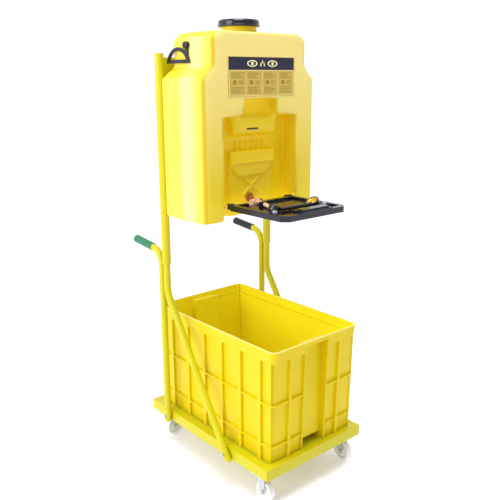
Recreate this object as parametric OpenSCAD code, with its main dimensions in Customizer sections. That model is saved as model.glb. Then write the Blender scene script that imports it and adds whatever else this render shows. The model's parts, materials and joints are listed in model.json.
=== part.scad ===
// Gravity-fed eyewash station on a trolley. A wheeled deck carries a waste-water crate
// and two bent-tube uprights, and the uprights carry a lift-off water tank with a
// fold-down spray tray, a screw cap and two carry rings. Millimetres, +Z up, -Y is the
// user's side. Inside the modules Y is counted from the middle of the deck.

/* [Deck] */
// Width of the deck frame over its rails
deck_w = 474; // [420:1:560]
// Length of the deck frame over its rails
deck_l = 700; // [620:1:840]
// Width of a deck rail, a rectangular tube
rail_w = 30; // [25:1:40]
// Height of a deck rail
rail_h = 40; // [30:1:50]
// Wall of a deck rail
rail_wall = 2; // [1.5:0.5:3]
// Thickness of the deck sheet and of the corner gussets
sheet_t = 3; // [2:0.5:5]
// Depth of the sheet's upper face below the rails
sheet_drop = 0; // [0:0.5:6]
// Side of the square gusset in each corner of the frame
gusset_side = 70; // [60:1:90]

/* [Casters] */
// Diameter of a wheel
wheel_d = 75; // [60:1:100]
// Width of a wheel
wheel_w = 24; // [20:1:30]
// Height of a caster from the floor to the deck frame
caster_h = 108; // [100:1:150]
// Distance of a caster's swivel axis from the side of the deck
caster_side = 37; // [36:1:60]
// Distance of a caster's swivel axis from the end of the deck
caster_end = 65; // [50:1:90]
// Trail of a wheel behind its swivel axis
caster_trail = 18; // [10:1:25]
// Diameter of a wheel's axle bolt
axle_d = 8; // [6:1:10]
// Diameter of a caster's kingpin
kingpin_d = 12; // [10:1:14]

/* [Uprights] */
// Distance of an upright's axis outside the deck frame
upright_gap = 13; // [13:0.5:20]
// Distance of a post's axis behind the middle of the deck
post_y = 190; // [150:1:240]
// Outer diameter of a post
post_d = 32; // [30:0.5:38]
// Height of a post's lower end above the floor
post_foot_z = 765; // [700:1:820]
// Height of a post's upper end above the floor
post_top_z = 1510; // [1480:1:1560]
// Outer diameter of the bent tubes
tube_d = 25.4; // [22:0.1:28]
// Wall of the bent tubes
tube_wall = 2; // [1.5:0.5:3]
// Height of the brace tube's corner
brace_corner_z = 650; // [600:1:690]
// Distance of the brace tube's foot in front of the middle of the deck
brace_foot = 157; // [40:1:170]
// Distance of the handle tube's axis behind the post's axis
handle_gap = 31; // [28.5:0.5:40]
// Height at which the handle tube starts to bend backwards
handle_bend_z = 752; // [700:1:760]
// Radius of the handle tube's bend
handle_bend_r = 60; // [50:1:80]
// Slope of the grip above level, in degrees
grip_slope = 6; // [0:1:20]
// Length of a grip
grip_len = 120; // [100:1:150]
// Outer diameter of a grip
grip_d = 30; // [29:0.5:36]

/* [Crate] */
// Width of the crate over its rim
crate_w = 418; // [380:1:440]
// Length of the crate over its rim
crate_l = 669; // [600:1:690]
// Height of the crate
crate_h = 414; // [300:1:480]
// Wall of the crate
crate_wall = 3; // [2:0.5:5]
// Depth of the crate's outer ribs
rib_depth = 10; // [6:1:14]
// Thickness of the crate's outer ribs
rib_t = 4; // [3:0.5:6]
// Width of the upright ribs on the crate's long sides
side_rib_w = 14; // [6:1:18]
// Height of the rim band
rim_h = 16; // [10:1:24]
// Distance of the crate's middle in front of the deck's middle
crate_forward = 11; // [0:1:12]
// Distance of the crate's middle to the right of the deck's middle
crate_aside = 4; // [0:1:10]

/* [Tank] */
// Height of the tank's underside above the floor
tank_z = 949; // [920:1:1000]
// Height of the tank's body without its neck
tank_h = 630; // [600:1:660]
// Width of the tank's front face below the shoulders
tank_w = 512; // [480:1:512]
// Width of the tank's front face above the shoulders
tank_top_w = 428; // [400:1:460]
// How far each side bulges out at the mould's parting line
tank_bulge = 12; // [6:1:16]
// Depth of the tank below the shoulders
tank_depth = 236; // [220:1:250]
// How much less deep the tank is above the shoulders
tank_back_step = 18; // [12:1:24]
// Wall of the tank
tank_wall = 5; // [4:0.5:7]
// Height of the start of the shoulders above the tank's underside
shoulder_z = 478; // [440:1:500]
// Height of the shoulders' slope
shoulder_h = 41; // [30:1:60]
// Radius of the tank's neck
neck_r = 62; // [50:1:66]
// Radius of the filling hole
fill_r = 50; // [40:1:54]
// Height of the neck
neck_h = 39; // [34:1:46]
// Radius of the cap
cap_r = 74; // [70:1:80]
// Height of the cap
cap_h = 24; // [20:1:30]
cap_set_back = 14; // [0:1:32]

/* [Recess] */
// Width of the recess in the tank's front
recess_w = 341; // [324:1:360]
// Height of the recess above the tank's underside
recess_h = 353; // [345:1:380]
// Depth of the recess beside its middle boss
recess_depth = 75; // [70:1:90]
// Width of the middle boss
boss_w = 204; // [150:1:210]
// Width of the finger notch above the recess
notch_w = 154; // [120:1:180]
// Height of the finger notch
notch_h = 58; // [40:1:64]

/* [Spray tray] */
// Width of the tray
tray_w = 298; // [280:1:310]
// Length of the tray in front of the tank
tray_l = 273; // [250:1:280]
// Thickness of the tray
tray_t = 20; // [16:1:22]
// Height of the tray's upper face above the tank's underside
tray_rise = 57.5; // [50:0.5:66]
// Depth of the pan in the tray's upper face
pan_depth = 8; // [5:1:11]
// Distance between the two spray heads
head_spread = 190; // [170:1:200]
// Distance of the spray heads in front of the tank
head_reach = 163; // [140:1:180]
// Tilt of the spray heads towards each other, in degrees
head_tilt = 28; // [15:1:35]
// Diameter of a spray head
head_d = 46; // [40:1:50]
// Outer diameter of the water pipes
pipe_d = 14; // [10:1:16]
// Diameter of the tray's hinge pins
pin_d = 8; // [6:1:10]

/* [Carry rings] */
// Length of a carry ring
ring_l = 132; // [110:1:134]
// Height of a carry ring
ring_h = 52; // [46:1:60]
// Thickness of a carry ring's bar
ring_bar = 12; // [9:1:14]
ring_t = 6.3; // [5:0.1:6.5]

/* [Hidden] */
$fn = 48;

// Clearances: running fits, curved faces that turn past each other, and welded seats.
fit = 0.05;
air = 0.3;
hair = 0.02;

// Deck
half_w = deck_w / 2;
half_l = deck_l / 2;
rail_top = caster_h + rail_h;
sheet_top = rail_top - sheet_drop;
crossbar_h = 20;
crossbar_w = 40;
crossbar_y = half_l / 3;

// Casters: plate, ball race, fork crown and wheel, from the deck downwards
plate_t = 4;
plate_w = 72;
plate_l = 60;
plate_bolt_x = 56;
plate_bolt_y = 44;
bolt_d = 8;
bolt_hole_d = bolt_d + 0.5;
bolt_head_h = 5.5;
bolt_head_d = 14;
race_r = 24;
race_h = 5;
crown_h = 6;
crown_r = 26;
fork_t = 3;
leg_w = 24;
kingpin_head_h = 5;
race_z = caster_h - plate_t - race_h;
crown_z = race_z - air - crown_h;
axle_z = wheel_d / 2;
hub_r = 12;
hub_w = wheel_w + 2;
fork_gap = hub_w + 2 * air;
caster_x = half_w - caster_side;
caster_y = half_l - caster_end;
// One row per caster: name, side in X, end in Y, heading of its wheel in degrees.
// Heading 0 trails towards the front and 90 trails towards +X.
CASTERS = [["fl", -1, -1, 0], ["fr", 1, -1, 0], ["bl", -1, 1, 90], ["br", 1, 1, 0]];

// Uprights
post_x = half_w + upright_gap;
post_bore_r = tube_d / 2 + fit;
brace_insert = 150;
brace_bend_r = 100;
brace_foot_z = caster_h + 1;
brace_lean = atan((post_y + brace_foot) / (brace_corner_z - brace_foot_z));
brace_tangent = brace_bend_r * tan(brace_lean / 2);
die_mark_l = 4;
die_mark_rise = 0.3;
handle_y = post_y + handle_gap;
handle_turn = 90 - grip_slope;
foot_bolt_z = caster_h + rail_h / 2;
foot_bolt_y = -brace_foot + (foot_bolt_z - brace_foot_z) * tan(brace_lean);
foot_bolt_head_h = 6;
post_cap_t = 3;
post_cap_stub = 15;
grip_end_t = 4;
grip_inset = 2;
handle_tip_l = grip_len - grip_end_t + grip_inset;
tab_h = 24;
tab_zs = [brace_corner_z + brace_tangent + tab_h / 2 + 2, post_foot_z - 45];

// Crate
crate_z = sheet_top;
crate_corner_r = 24;
crate_rim_lip = 2;
crate_draft_x = 1;
crate_draft_y = 14;
crate_base_half_w = crate_w / 2 - crate_rim_lip - crate_draft_x;
crate_base_half_l = crate_l / 2 - crate_rim_lip - crate_draft_y;
crate_y = -crate_forward;
front_recess_w = 112;
front_recess_depth = 10.5;
foot_notch_h = 28;
foot_notch_depth = 45;
ring_heights = [58, 214, 372];
side_rib_pitch = 103.5;
end_rib_x = 121;
end_rib_w = 11;

// Tank
tank_front = post_y - post_d / 2 - air - tank_depth;
tank_back = tank_front + tank_depth;
tank_top = tank_z + tank_h;
tank_corner_r = 18;
part_line = 0.51;
top_slope_w = 30;
top_slope_h = 22;
cap_y = tank_front + (tank_depth - tank_back_step) / 2 + cap_set_back;
neck_top = tank_top + neck_h;
gasket_t = 1.5;
cap_bore_r = neck_r + air;
cap_z = neck_top + gasket_t + 5 - cap_h;
label_w = 302;
label_h = 130;
label_z = tank_z + 419;
label_t = 1.2;
drain_x = 150;
drain_y = tank_back - 70;
drain_r = 14;

// Recess: the boss carries, from below, a ribbed field, a ledge, a pocket and a hump
field_y = tank_front + 62;
ledge_y = tank_front + 50;
hump_y = tank_front + 34;
ledge_lo = tank_z + 186;
ledge_hi = tank_z + 231;
hump_lo = tank_z + 289;
recess_back = tank_front + recess_depth;
notch_depth = 52;

// Tray: it folds up about the hinge line until its underside is flush with the tank
tray_top = tank_z + tray_rise;
tray_z = tray_top - tray_t;
hinge_y = tank_front + tray_t - 5;
hinge_z = tray_top - 6.5;
tray_front = tank_front - tray_l;
pan_margin = 18;
pan_z = tray_top - pan_depth;
corner_cut = 22;
lip_w = 140;
lip_l = 44;
lip_h = 10;
lug_w = 20;
lug_r = 9;
lug_gap = 1;
tray_gap = 0.6;
head_y = tank_front - head_reach;
head_x = head_spread / 2;
head_base_h = 8;
head_top = tray_top + 26;
head_wall = 3;
insert_gap = 0.2;
plug_r = 9;
plug_h = 14;
plug_out = 22;
pipe_r = pipe_d / 2;
outlet_x = -8;
outlet_z = tank_z + 61;
barrel_r = 12;
barrel_w = 32;
collar_w = 16;
collar_x = outlet_x - barrel_w / 2 - air;
pipe_turn = [collar_x - collar_w / 2, tank_front - 9, hinge_z + 8];
pipe_end = [-head_x + 6, head_y + 4, pan_z + pipe_r + 3];
elbow_d = pipe_d + 4;
cross_y = head_y - 8;
cross_z = pan_z + pipe_r + 1;
clip_at = 0.4;

// Carry rings
side_x = tank_top_w / 2 + tank_bulge;
stud_y = tank_front + 116;
stud_z = tank_z + 586;
stud_r = 12;
stud_neck_r = 5;
stud_head_h = 8;
ring_gap = 1.2;
ring_x = side_x + ring_gap + ring_t / 2;
ring_mid_y = 50;
ring_low_z = -57;
clip_back = 22;
clip_h = 14;
clip_d = 3;

// Hanger
hanger_t = 4;
hanger_h = 80;
hanger_z = tank_z + 471;
hook_t = 3;
hook_w = 220;
hook_drop = 20;
hook_screw_x = 80;
hook_screw_d = 8;
hook_margin = 14;
hook_screw_z = tank_z + shoulder_z + shoulder_h + hook_margin + 2;
tank_top_back = tank_back - tank_back_step;
crossbar_d = 22;
crossbar_z = tank_z + 60;

// The frame's origin is under the middle of the whole station's box.
handle_tip_y = handle_y + handle_bend_r * (1 - cos(handle_turn)) + handle_tip_l * sin(handle_turn);
grip_tip_y = handle_tip_y + grip_end_t * sin(handle_turn) + grip_d / 2 * cos(handle_turn);
origin_y = (grip_tip_y - half_l) / 2;

// ---------- Shared shapes ----------

// A box given by its lowest and highest corners.
module block(low, high) {
    translate(low) cube(high - low);
}

// A round bar from one point to another.
module bar(from, to, d) {
    run = to - from;
    length = norm(run);
    translate(from)
        rotate([0, acos(run.z / length), atan2(run.y, run.x)])
            cylinder(h = length, d = d);
}

// A cylinder along +X from a point.
module bar_x(at, d, length) {
    translate(at) rotate([0, 90, 0]) cylinder(h = length, d = d);
}

// A cylinder along +Y from a point.
module bar_y(at, d, length) {
    translate(at) rotate([-90, 0, 0]) cylinder(h = length, d = d);
}

// A rod that rises, bends towards +Y on an arc and runs straight again. It is a hair
// thicker where the bending die held it, at both ends of the arc.
module bent_rod(d, rise, bend_r, turn, run) {
    cylinder(h = rise, d = d);
    die_mark(d, rise);
    translate([0, bend_r, rise]) {
        rotate([90, 0, -90])
            rotate_extrude(angle = turn) translate([bend_r, 0]) circle(d = d);
        rotate([-turn, 0, 0]) translate([0, -bend_r, 0]) {
            cylinder(h = run, d = d);
            die_mark(d, 0);
        }
    }
}

module die_mark(d, z) {
    translate([0, 0, z - die_mark_l / 2]) cylinder(h = die_mark_l, d = d + die_mark_rise);
}

// A rectangle with rounded corners, centred.
module rounded(half_x, half_y, r) {
    union() {
        square([2 * half_x, 2 * (half_y - r)], center = true);
        square([2 * (half_x - r), 2 * half_y], center = true);
        for (sx = [-1, 1], sy = [-1, 1])
            translate([sx * (half_x - r), sy * (half_y - r)]) circle(r);
    }
}

// Draws its children on the left side and again, mirrored, on the right side.
module both_sides() {
    children();
    mirror([1, 0, 0]) children();
}

module at_caster(c) {
    translate([c[1] * caster_x, c[2] * caster_y, 0]) rotate([0, 0, c[3]]) children();
}

// ---------- Deck ----------

module deck_frame() color("gold") difference() {
    block([-half_w, -half_l, caster_h], [half_w, half_l, rail_top]);
    block([rail_w - half_w, rail_w - half_l, caster_h - 1],
        [half_w - rail_w, half_l - rail_w, rail_top + 1]);
    difference() {
        block([rail_wall - half_w, rail_wall - half_l, caster_h + rail_wall],
            [half_w - rail_wall, half_l - rail_wall, rail_top - rail_wall]);
        block([rail_w - rail_wall - half_w, rail_w - rail_wall - half_l, caster_h],
            [half_w - rail_w + rail_wall, half_l - rail_w + rail_wall, rail_top]);
    }
    plate_holes(caster_h - 1, rail_wall + 2);
    both_sides() for (y = [foot_bolt_y, handle_y])
        bar_x([-half_w - 1, y, foot_bolt_z], bolt_hole_d, rail_wall + 2);
}

module deck_sheet() color("goldenrod")
    block([rail_w - half_w, rail_w - half_l, sheet_top - sheet_t],
        [half_w - rail_w, half_l - rail_w, sheet_top]);

module deck_crossbars() color("gold")
    for (s = [-1, 1]) difference() {
        block([rail_w - half_w, s * crossbar_y - crossbar_w / 2, sheet_top - sheet_t - crossbar_h],
            [half_w - rail_w, s * crossbar_y + crossbar_w / 2, sheet_top - sheet_t]);
        block([rail_w - half_w - 1, s * crossbar_y - crossbar_w / 2 + rail_wall,
            sheet_top - sheet_t - crossbar_h + rail_wall],
            [half_w - rail_w + 1, s * crossbar_y + crossbar_w / 2 - rail_wall,
            sheet_top - sheet_t - rail_wall]);
    }

module corner_gussets() color("gold") difference() {
    for (sx = [-1, 1], sy = [-1, 1])
        translate([sx * (half_w - rail_w - gusset_side / 2),
            sy * (half_l - rail_w - gusset_side / 2), caster_h + sheet_t / 2])
            cube([gusset_side, gusset_side, sheet_t], center = true);
    plate_holes(caster_h - 1, sheet_t + 2);
}

// ---------- Casters ----------

// The four bolt holes, or bolts, of each caster plate. The plates stay square to the deck.
module at_plate_bolts() {
    for (c = CASTERS, sx = [-1, 1], sy = [-1, 1])
        translate([c[1] * caster_x + sx * plate_bolt_x / 2,
            c[2] * caster_y + sy * plate_bolt_y / 2, 0]) children();
}

module plate_holes(z, h) {
    at_plate_bolts() translate([0, 0, z]) cylinder(h = h, d = bolt_hole_d);
}

module caster_plates() color("silver") difference() {
    for (c = CASTERS) translate([c[1] * caster_x, c[2] * caster_y, 0]) {
        block([-plate_w / 2, -plate_l / 2, caster_h - plate_t],
            [plate_w / 2, plate_l / 2, caster_h]);
        translate([0, 0, race_z]) cylinder(h = race_h, r = race_r);
        translate([0, 0, crown_z - air]) cylinder(h = caster_h - plate_t - crown_z, d = kingpin_d);
        translate([0, 0, crown_z - air - kingpin_head_h])
            cylinder(h = kingpin_head_h, d = kingpin_d + 8);
    }
    plate_holes(caster_h - plate_t - 1, plate_t + 2);
}

module caster_bolts() color("lightgray") at_plate_bolts() {
    translate([0, 0, caster_h - plate_t - bolt_head_h])
        cylinder(h = bolt_head_h, d = bolt_head_d, $fn = 6);
    translate([0, 0, caster_h - plate_t - 1]) cylinder(h = plate_t + 12, d = bolt_d);
}

// Fork at heading 0: the wheel trails towards the front and its axle lies along X.
module fork(c) color("silver") at_caster(c) difference() {
    union() {
        translate([0, 0, crown_z]) cylinder(h = crown_h, r = crown_r);
        for (s = [-1, 1]) translate([s * (fork_gap + fork_t) / 2 - fork_t / 2, 0, 0])
            rotate([90, 0, 90]) linear_extrude(fork_t) union() {
                polygon([[-leg_w, crown_z + 1], [leg_w / 2, crown_z + 1],
                    [leg_w / 2 - caster_trail, axle_z], [-leg_w / 2 - caster_trail, axle_z]]);
                translate([-caster_trail, axle_z]) circle(d = leg_w);
            }
    }
    translate([0, 0, crown_z - 1]) cylinder(h = crown_h + 2, d = kingpin_d + 2 * fit);
    bar_x([-fork_gap, -caster_trail, axle_z], axle_d + 2 * fit, 2 * fork_gap);
}

module axle(c) color("lightgray") at_caster(c) {
    bar_x([-fork_gap / 2 - fork_t - 1, -caster_trail, axle_z], axle_d, fork_gap + 2 * fork_t + 7);
    for (x = [-fork_gap / 2 - fork_t - 5, fork_gap / 2 + fork_t])
        translate([x, -caster_trail, axle_z]) rotate([0, 90, 0])
            cylinder(h = 5, d = axle_d + 6, $fn = 6);
}

module wheel(c) color("whitesmoke") at_caster(c) translate([0, -caster_trail, axle_z])
    rotate([0, 90, 0]) difference() {
        union() {
            cylinder(h = wheel_w, d = wheel_d - 8, center = true);
            cylinder(h = wheel_w - 8, d = wheel_d, center = true);
            cylinder(h = hub_w, r = hub_r, center = true);
        }
        for (s = [-1, 1]) translate([0, 0, s * (wheel_w / 2 + 1)]) difference() {
            cylinder(h = 10, d = wheel_d - 20, center = true);
            cylinder(h = 12, r = hub_r, center = true);
        }
        cylinder(h = hub_w + 2, d = axle_d + 2 * fit, center = true);
    }

// ---------- Uprights ----------

module brace_rod(d, from_top) {
    translate([-post_x, post_y, post_foot_z + brace_insert - from_top]) rotate([180, 0, 0])
        bent_rod(d, post_foot_z + brace_insert - from_top - brace_corner_z - brace_tangent,
            brace_bend_r, brace_lean,
            (brace_corner_z - brace_foot_z) / cos(brace_lean) - brace_tangent + tube_d);
}

module brace_tube_side() difference() {
    brace_rod(tube_d, 0);
    brace_rod(tube_d - 2 * tube_wall, -1);
    block([-post_x - tube_d, -half_l, 0], [-post_x + tube_d, half_l, caster_h]);
    bar_x([-post_x - tube_d, foot_bolt_y, foot_bolt_z], bolt_hole_d, 2 * tube_d);
}

module handle_rod(d, extra) {
    translate([-post_x, handle_y, caster_h - extra])
        bent_rod(d, handle_bend_z - caster_h + extra, handle_bend_r, handle_turn,
            handle_tip_l + extra);
}

module handle_tube_side() difference() {
    handle_rod(tube_d, 0);
    handle_rod(tube_d - 2 * tube_wall, 1);
    bar_x([-post_x - tube_d, handle_y, foot_bolt_z], bolt_hole_d, 2 * tube_d);
}

module brace_tube_left() color("yellow") brace_tube_side();
module brace_tube_right() color("yellow") mirror([1, 0, 0]) brace_tube_side();
module handle_tube_left() color("yellow") handle_tube_side();
module handle_tube_right() color("yellow") mirror([1, 0, 0]) handle_tube_side();

module post_side() translate([-post_x, post_y, post_foot_z]) difference() {
    cylinder(h = post_top_z - post_foot_z, d = post_d);
    translate([0, 0, -1]) cylinder(h = post_top_z - post_foot_z + 2, r = post_bore_r);
}

module post_left() color("yellow") post_side();
module post_right() color("yellow") mirror([1, 0, 0]) post_side();

module post_caps() color("yellow") both_sides() translate([-post_x, post_y, post_top_z]) {
    cylinder(h = post_cap_t, d = post_d);
    translate([0, 0, -post_cap_stub]) cylinder(h = post_cap_stub + 1, r = post_bore_r - hair);
}

module weld_tabs() color("yellow") both_sides() for (z = tab_zs) difference() {
    block([-post_x - 3, post_y, z - tab_h / 2], [-post_x + 3, handle_y, z + tab_h / 2]);
    for (y = [post_y, handle_y])
        translate([-post_x, y, z - tab_h / 2 - 1]) cylinder(h = tab_h + 2, r = tube_d / 2 + hair);
}

module foot_bolts() color("whitesmoke") both_sides() for (y = [foot_bolt_y, handle_y]) {
    translate([-post_x - tube_d / 2 - foot_bolt_head_h, y, foot_bolt_z]) rotate([0, 90, 0])
        cylinder(h = foot_bolt_head_h, d = bolt_head_d, $fn = 6);
    bar_x([-post_x - tube_d / 2 - 1, y, foot_bolt_z], bolt_d, tube_d + rail_w / 2 + upright_gap / 2);
}

module grip_side() translate([-post_x, handle_y + handle_bend_r * (1 - cos(handle_turn)),
    handle_bend_z + handle_bend_r * sin(handle_turn)]) rotate([-handle_turn, 0, 0])
    translate([0, 0, grip_inset]) difference() {
        cylinder(h = grip_len, d = grip_d);
        translate([0, 0, -1]) cylinder(h = grip_len - grip_end_t + 1 + hair, r = tube_d / 2 + hair);
    }

module grip_left() color("seagreen") grip_side();
module grip_right() color("midnightblue") mirror([1, 0, 0]) grip_side();

module hanger_plate() color("yellow") difference() {
    block([-post_x, post_y - hanger_t / 2, hanger_z],
        [post_x, post_y + hanger_t / 2, hanger_z + hanger_h]);
    both_sides() translate([-post_x, post_y, hanger_z - 1])
        cylinder(h = hanger_h + 2, r = post_d / 2 + hair);
}

module lower_crossbar() color("yellow") difference() {
    bar_x([-post_x, post_y, crossbar_z], crossbar_d, 2 * post_x);
    bar_x([-post_x - 1, post_y, crossbar_z], crossbar_d - 2 * tube_wall, 2 * post_x + 2);
    both_sides() translate([-post_x, post_y, crossbar_z - crossbar_d])
        cylinder(h = 2 * crossbar_d, r = post_d / 2 + hair);
}

// ---------- Crate ----------

// A slice of the crate's tapered outline, at its base or its top, drawn in by inset.
module crate_slice(at_top, inset) {
    grow = at_top ? 1 : 0;
    rounded(crate_base_half_w + grow * crate_draft_x - inset,
        crate_base_half_l + grow * crate_draft_y - inset, max(crate_corner_r - inset, 6));
}

module crate_block(inset, low, high) hull() {
    translate([0, 0, low]) linear_extrude(0.01) crate_slice(false, inset);
    translate([0, 0, high - 0.01]) linear_extrude(0.01) crate_slice(true, inset);
}

// The stepped-out band round the top of the crate, above its highest ring.
module crate_band(inset, high) intersection() {
    crate_block(inset, 0, high);
    translate([0, 0, ring_heights[2] + rib_t + inset + high / 2])
        cube([2 * crate_w, 2 * crate_l, high], center = true);
}

module crate_ribs() {
    for (sx = [-1, 1], sy = [-1, 1])
        translate([sx * crate_base_half_w, sy * crate_base_half_l, crate_h / 2])
            rotate([0, 0, -sx * sy * 45]) cube([rib_t - 1, 4 * crate_corner_r, crate_h], center = true);
    for (z = ring_heights) block([-crate_w, -crate_l, z], [crate_w, crate_l, z + rib_t]);
    for (i = [-2.5:2.5]) block([-crate_w, i * side_rib_pitch - side_rib_w / 2, 0],
        [crate_w, i * side_rib_pitch + side_rib_w / 2, crate_h]);
    for (x = [-end_rib_x, end_rib_x])
        block([x - end_rib_w / 2, -crate_l, 0], [x + end_rib_w / 2, crate_l, crate_h]);
    for (x = [-front_recess_w / 2, front_recess_w / 2])
        block([x - rib_t / 2, -crate_l, 0], [x + rib_t / 2, crate_l, crate_h]);
}

// A stepped-in space in the middle of each short end, up from the foot, drawn in by inset.
module end_step(depth, high, inset) for (s = [-1, 1])
    translate([0, s * (crate_base_half_l + crate_draft_y), 0])
        cube([front_recess_w - rib_t + 2 * inset,
            2 * (crate_draft_y + rib_depth + front_recess_depth + depth + inset),
            2 * (high + inset)], center = true);

// The panel under each end of the rim and the deeper notch at its foot, drawn in by inset.
module end_panels(inset) {
    end_step(0, crate_h - rim_h, inset);
    end_step(foot_notch_depth, foot_notch_h, inset);
}

module crate() color("gold") translate([crate_aside, crate_y, crate_z]) difference() {
    union() {
        crate_block(rib_depth, 0, crate_h);
        crate_band(0, crate_h);
        intersection() {
            crate_block(0, 0, crate_h);
            crate_ribs();
        }
        translate([0, 0, crate_h - rim_h]) linear_extrude(rim_h)
            rounded(crate_w / 2, crate_l / 2, crate_corner_r);
    }
    difference() {
        union() {
            crate_block(rib_depth + crate_wall, crate_wall, crate_h + 1);
            crate_band(crate_wall, crate_h + 1);
        }
        end_panels(crate_wall);
    }
    end_panels(0);
}

// ---------- Tank ----------

// Plan of the tank, drawn in by inset: flat front and back, sides that bulge to a line.
function tank_plan(half, back, inset) = let (
        r = tank_corner_r - inset,
        front = tank_front + inset,
        bulge_y = tank_front + (back - tank_front) * part_line,
        right = concat(
            [for (a = [-90:15:0]) [half - tank_corner_r + r * cos(a),
                tank_front + tank_corner_r + r * sin(a)]],
            [[half + tank_bulge - inset, bulge_y],
                [half - inset, back - inset]]))
    concat([for (p = right) [p.x, max(p.y, front)]],
        [for (i = [len(right) - 1:-1:0]) [-right[i].x, max(right[i].y, front)]]);

module tank_slice(half, back, inset, low, high) {
    translate([0, 0, low]) linear_extrude(high - low) polygon(tank_plan(half, back, inset));
}

module tank_form(inset) {
    low_half = tank_w / 2;
    top_half = tank_top_w / 2;
    shoulder = tank_z + shoulder_z;
    tank_slice(low_half, tank_back, inset, tank_z + inset, shoulder);
    hull() {
        tank_slice(low_half, tank_back, inset, shoulder - 0.01, shoulder);
        tank_slice(top_half, tank_top_back, inset, shoulder + shoulder_h,
            shoulder + shoulder_h + 0.01);
    }
    tank_slice(top_half, tank_top_back, inset, shoulder + shoulder_h, tank_top - top_slope_h);
    hull() {
        tank_slice(top_half, tank_top_back, inset, tank_top - top_slope_h - 0.01,
            tank_top - top_slope_h);
        tank_slice(top_half - top_slope_w, tank_top_back, inset, tank_top - inset - 0.01,
            tank_top - inset);
    }
}

// The recess in the tank's front, grown by a wall on every side.
module recess(grow) {
    front = tank_front - 20;
    low = tank_z - 20;
    top = tank_z + recess_h;
    side = recess_w / 2 + grow;
    boss = boss_w / 2 - grow;
    for (s = [-1, 1])
        block([min(s * boss, s * side), front, low], [max(s * boss, s * side), recess_back + grow, top + grow]);
    block([-side, front, low], [side, hump_y + grow, top + grow]);
    block([-side, front, low], [side, field_y + grow, ledge_lo + grow]);
    block([-side, front, low], [side, ledge_y + grow, ledge_hi + grow]);
    block([-side, front, ledge_hi - grow], [side, recess_back + grow, hump_lo + grow]);
    block([-notch_w / 2 - grow, front, top - 1 - grow],
        [notch_w / 2 + grow, tank_front + notch_depth + grow, top + notch_h + grow]);
}

module tank_shell() color("gold") difference() {
    union() {
        difference() {
            tank_form(0);
            difference() {
                tank_form(tank_wall);
                recess(tank_wall);
            }
            recess(0);
        }
        translate([0, cap_y, tank_top - tank_wall]) cylinder(h = neck_h + tank_wall, r = neck_r);
        both_sides() bar_x([-recess_w / 2 - 1, hinge_y, hinge_z], 2 * lug_r,
            recess_w / 2 - tray_w / 2 - lug_gap + 1);
        both_sides() bar_x([-side_x - ring_gap / 2, stud_y, stud_z], 3 * stud_neck_r, 20);
        for (s = [-1, 1]) bar_y([s * hook_screw_x, tank_top_back - 20, hook_screw_z],
            3 * hook_screw_d, 20);
        for (a = [-1, 1]) field_rib(a);
    }
    translate([0, cap_y, tank_top - 2 * tank_wall]) cylinder(h = neck_h + 3 * tank_wall, r = fill_r);
    bar_x([-recess_w / 2 - 25, hinge_y, hinge_z], pin_d + 2 * hair, recess_w + 50);
    both_sides() bar_x([-side_x - 10, stud_y, stud_z], 2 * (stud_neck_r + hair), 10 + 12);
    for (s = [-1, 1]) bar_y([s * hook_screw_x, tank_top_back - 16, hook_screw_z], hook_screw_d, 20);
    bar_y([outlet_x, field_y - 1, outlet_z], pipe_d, 20);
    translate([drain_x, drain_y, tank_z - 1]) cylinder(h = tank_wall + 2, r = drain_r);
}

// One of the two crossed ribs on the boss's field.
module field_rib(a) {
    rib = 6;
    rib_len = 110;
    stand = 8;
    translate([0, field_y + tank_wall / 2 - stand / 2, (tank_z + ledge_lo) / 2 + 12])
        rotate([0, a * 40, 0]) cube([rib_len, stand + tank_wall, rib], center = true);
}

module tank_hook() color("silver") difference() {
    union() {
        block([-hook_w / 2, tank_top_back, hook_screw_z - hook_margin],
            [hook_w / 2, tank_top_back + hook_t, hanger_z + hanger_h + air + hook_t]);
        block([-hook_w / 2, tank_top_back, hanger_z + hanger_h + air],
            [hook_w / 2, post_y + hanger_t / 2 + 1 + hook_t, hanger_z + hanger_h + air + hook_t]);
        block([-hook_w / 2, post_y + hanger_t / 2 + 1, hanger_z + hanger_h - hook_drop],
            [hook_w / 2, post_y + hanger_t / 2 + 1 + hook_t, hanger_z + hanger_h + air + hook_t]);
    }
    for (s = [-1, 1]) bar_y([s * hook_screw_x, tank_top_back - 1, hook_screw_z],
        hook_screw_d + 2 * hair, hook_t + 2);
}

module hook_screws() color("lightgray") for (s = [-1, 1]) {
    bar_y([s * hook_screw_x, tank_top_back - 14, hook_screw_z], hook_screw_d - hair, 14 + hook_t + 1);
    bar_y([s * hook_screw_x, tank_top_back + hook_t, hook_screw_z], 1.8 * hook_screw_d, 4);
}

module label_plate() color("black")
    block([-label_w / 2, tank_front - label_t, label_z], [label_w / 2, tank_front, label_z + label_h]);

module ring_studs() color("black") both_sides() {
    bar_x([-ring_x - ring_t / 2 - air - 1, stud_y, stud_z], 2 * stud_neck_r,
        ring_x - side_x + ring_t / 2 + 12);
    bar_x([-ring_x - ring_t / 2 - air - stud_head_h, stud_y, stud_z], 2 * stud_r, stud_head_h);
}

module outlet_fitting() color("peru") difference() {
    union() {
        bar_y([outlet_x, field_y - 4, outlet_z], 34, 4);
        bar_y([outlet_x, field_y - 4, outlet_z], pipe_d - 2 * hair, 4 + tank_wall + 6);
        bar([outlet_x, field_y - 2, outlet_z], [outlet_x, hinge_y, hinge_z], pipe_d);
        bar_x([outlet_x - barrel_w / 2, hinge_y, hinge_z], 2 * barrel_r, barrel_w);
    }
    bar_x([outlet_x - barrel_w / 2 - 1, hinge_y, hinge_z], pipe_d + 2 * fit, barrel_w - 3);
}

module hinge_pins() color("silver") both_sides()
    bar_x([-recess_w / 2 - 4, hinge_y, hinge_z], pin_d,
        recess_w / 2 + 4 - tray_w / 2 + lug_w - 2);

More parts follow.
